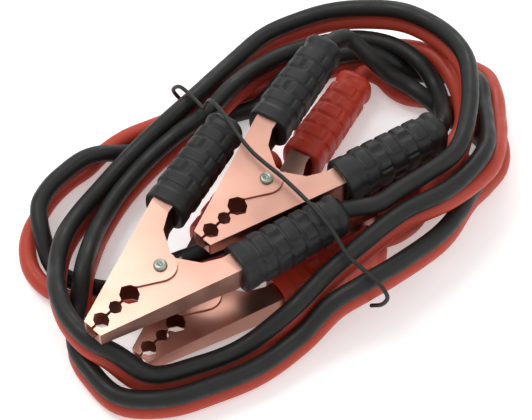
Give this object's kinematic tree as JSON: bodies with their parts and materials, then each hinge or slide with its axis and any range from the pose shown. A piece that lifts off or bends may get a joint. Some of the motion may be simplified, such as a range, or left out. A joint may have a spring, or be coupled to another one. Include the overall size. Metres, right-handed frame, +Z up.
{
  "type": "car jumper cable set",
  "caption": "Black and red jumper leads coiled side by side, with sprung copper-plated jaw clamps on their ends and a thin tie.",
  "frame": {"origin": "on the floor, under the middle of the box round the clamps and the tie, the two leads left out", "axes": "+Z up from the floor, +X to the right in the picture, +Y away from its viewer"},
  "size_m": [0.2592, 0.2472, 0.0622],
  "materials": {
    "copper_plate": "satin",
    "rivet_zinc": "satin",
    "spring_steel": "satin",
    "grip_black": "satin",
    "grip_red": "satin",
    "jacket_black": "matte",
    "jacket_red": "satin",
    "tie_black": "matte"
  },
  "bodies": {
    "bundle": {"black_lead": "jacket_black", "red_lead": "jacket_red", "tie": "tie_black", "black_front_inner_jaw_arm": "copper_plate", "black_front_inner_grip": "grip_black", "black_front_rivet": "rivet_zinc", "black_front_spring": "spring_steel", "black_back_outer_jaw_arm": "copper_plate", "black_back_outer_grip": "grip_black", "black_back_rivet": "rivet_zinc", "black_back_spring": "spring_steel", "red_back_outer_jaw_arm": "copper_plate", "red_back_outer_grip": "grip_red", "red_back_rivet": "rivet_zinc", "red_back_spring": "spring_steel", "red_front_inner_jaw_arm": "copper_plate", "red_front_inner_grip": "grip_red", "red_front_rivet": "rivet_zinc", "red_front_spring": "spring_steel"},
    "black_front_free_half": {"black_front_outer_jaw_arm": "copper_plate", "black_front_outer_grip": "grip_black"},
    "black_back_free_half": {"black_back_inner_jaw_arm": "copper_plate", "black_back_inner_grip": "grip_black"},
    "red_back_free_half": {"red_back_inner_jaw_arm": "copper_plate", "red_back_inner_grip": "grip_red"},
    "red_front_free_half": {"red_front_outer_jaw_arm": "copper_plate", "red_front_outer_grip": "grip_red"}
  },
  "joints": [
    {"name": "black_front_hinge", "type": "hinge", "parent": "bundle", "child": "black_front_free_half", "pos_m": [-0.06405, -0.05701, 0.0468], "axis": [0, 0, 1], "range_deg": [-2, 0], "stiffness_Nm_per_rad": 0.6, "springref_deg": 11.46},
    {"name": "black_back_hinge", "type": "hinge", "parent": "bundle", "child": "black_back_free_half", "pos_m": [-0.01235, -0.00541, 0.0468], "axis": [0, 0, 1], "range_deg": [0, 5], "stiffness_Nm_per_rad": 0.6, "springref_deg": -11.46},
    {"name": "red_back_hinge", "type": "hinge", "parent": "bundle", "child": "red_back_free_half", "pos_m": [0.00545, -0.00151, 0.0116], "axis": [0, 0, 1], "range_deg": [0, 5], "stiffness_Nm_per_rad": 0.6, "springref_deg": -11.46},
    {"name": "red_front_hinge", "type": "hinge", "parent": "bundle", "child": "red_front_free_half", "pos_m": [-0.04325, -0.05191, 0.0116], "axis": [0, 0, 1], "range_deg": [-0.8, 0], "stiffness_Nm_per_rad": 0.6, "springref_deg": 11.46}
  ]
}
